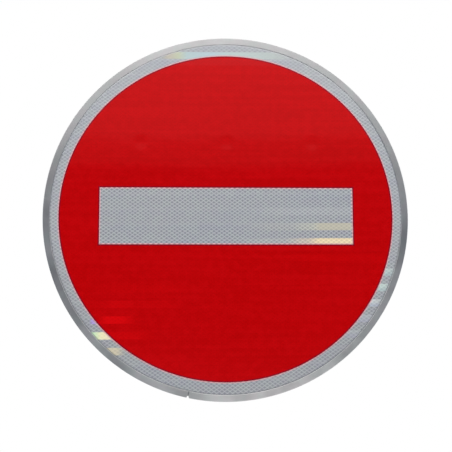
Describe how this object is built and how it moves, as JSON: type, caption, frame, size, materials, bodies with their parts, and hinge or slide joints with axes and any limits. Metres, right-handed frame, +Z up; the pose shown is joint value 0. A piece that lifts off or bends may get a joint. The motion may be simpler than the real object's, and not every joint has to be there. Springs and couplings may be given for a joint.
{
  "type": "no entry sign",
  "caption": "Round no entry sign: red retroreflective face with a white bar, aluminium plate in a bent edge profile, and two slotted fixing rails on the back.",
  "frame": {"origin": "centre of the sign, halfway between the front of its edge lip and the back of its rails", "axes": "the face looks along -Y, the back along +Y, +Z is up and +X is to the right as the sign is read"},
  "size_m": [0.5999, 0.024, 0.5999],
  "materials": {
    "profile_aluminium": "extruded, dull silver",
    "plate_aluminium": "mill finish with rolling lines",
    "white_sheeting": "prismatic retroreflective sheet, silvery white",
    "red_overlay": "transparent red film over the prismatic sheet",
    "rail_aluminium": "extruded, with lines along its length",
    "strip_aluminium": "mill finish",
    "rivet_aluminium": "plain"
  },
  "bodies": {
    "root": {"edge_profile": "profile_aluminium", "sign_plate": "plate_aluminium", "white_film": "white_sheeting", "red_film": "red_overlay", "rail_upper": "rail_aluminium", "rail_lower": "rail_aluminium", "rail_rivets_upper": "rivet_aluminium", "rail_rivets_lower": "rivet_aluminium", "joint_plate": "strip_aluminium", "joint_rivets": "rivet_aluminium"}
  },
  "joints": []
}
